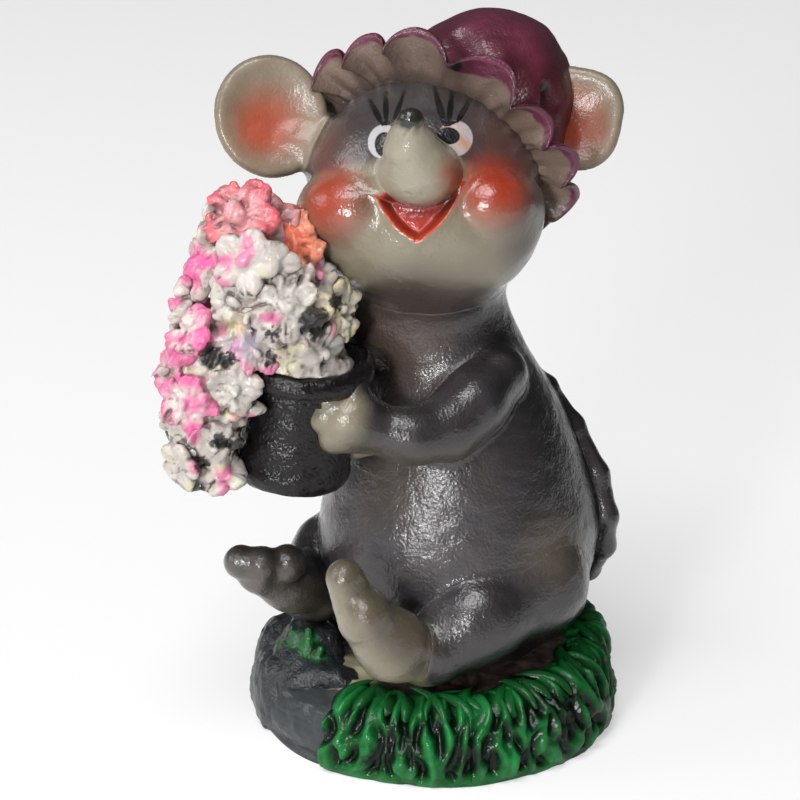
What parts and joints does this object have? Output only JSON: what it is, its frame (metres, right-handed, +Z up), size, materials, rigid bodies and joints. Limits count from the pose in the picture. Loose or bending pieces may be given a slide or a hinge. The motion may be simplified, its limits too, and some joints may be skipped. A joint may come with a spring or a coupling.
{
  "type": "mouse figurine",
  "caption": "Seated mouse in a frilled bonnet that holds an upturned top hat full of flowers, on a round mound of rock and grass; painted and lacquered table ornament",
  "frame": {"origin": "centre of the base's flat underside", "axes": "+Z up, the mouse's body faces -Y, its left side is +X; its head is turned and tilted towards +X"},
  "size_m": [0.0548, 0.0681, 0.1034],
  "materials": {
    "grey_paint": "glossy lacquer over hand-painted grey",
    "cream_paint": "glossy lacquer over cream",
    "nose_paint": "glossy lacquer over dark grey green",
    "ear_paint": "glossy lacquer over cream with orange blush",
    "bonnet_paint": "glossy lacquer over magenta",
    "frill_paint": "glossy lacquer over cream with magenta folds",
    "hat_paint": "glossy lacquer over near black",
    "flower_white": "glossy lacquer over white",
    "flower_pink": "glossy lacquer over pink",
    "flower_coral": "glossy lacquer over coral",
    "rock_paint": "glossy lacquer over slate grey",
    "grass_paint": "glossy lacquer over green"
  },
  "bodies": {
    "root": {"base_mound": "grass_paint", "rock": "rock_paint", "grass_front": "grass_paint", "grass_left": "grass_paint", "grass_back": "grass_paint", "grass_right": "grass_paint", "body": "grey_paint", "head": "grey_paint", "snout": "cream_paint", "nose": "nose_paint", "ear_left": "ear_paint", "ear_right": "ear_paint", "bonnet_crown": "bonnet_paint", "bonnet_frill": "frill_paint", "haunch_left": "grey_paint", "haunch_right": "grey_paint", "foot_left": "cream_paint", "foot_right": "cream_paint", "arm_left": "grey_paint", "arm_right": "grey_paint", "tail": "grey_paint", "hat": "hat_paint", "hat_band": "hat_paint", "foliage": "flower_white", "flower_01": "flower_pink", "flower_02": "flower_coral", "flower_03": "flower_pink", "flower_04": "flower_white", "flower_05": "flower_white", "flower_06": "flower_pink", "flower_07": "flower_pink", "flower_08": "flower_white", "flower_09": "flower_white", "flower_10": "flower_pink", "flower_11": "flower_pink", "flower_12": "flower_white", "flower_13": "flower_white", "flower_14": "flower_pink", "flower_15": "flower_coral", "flower_16": "flower_white"}
  },
  "joints": []
}
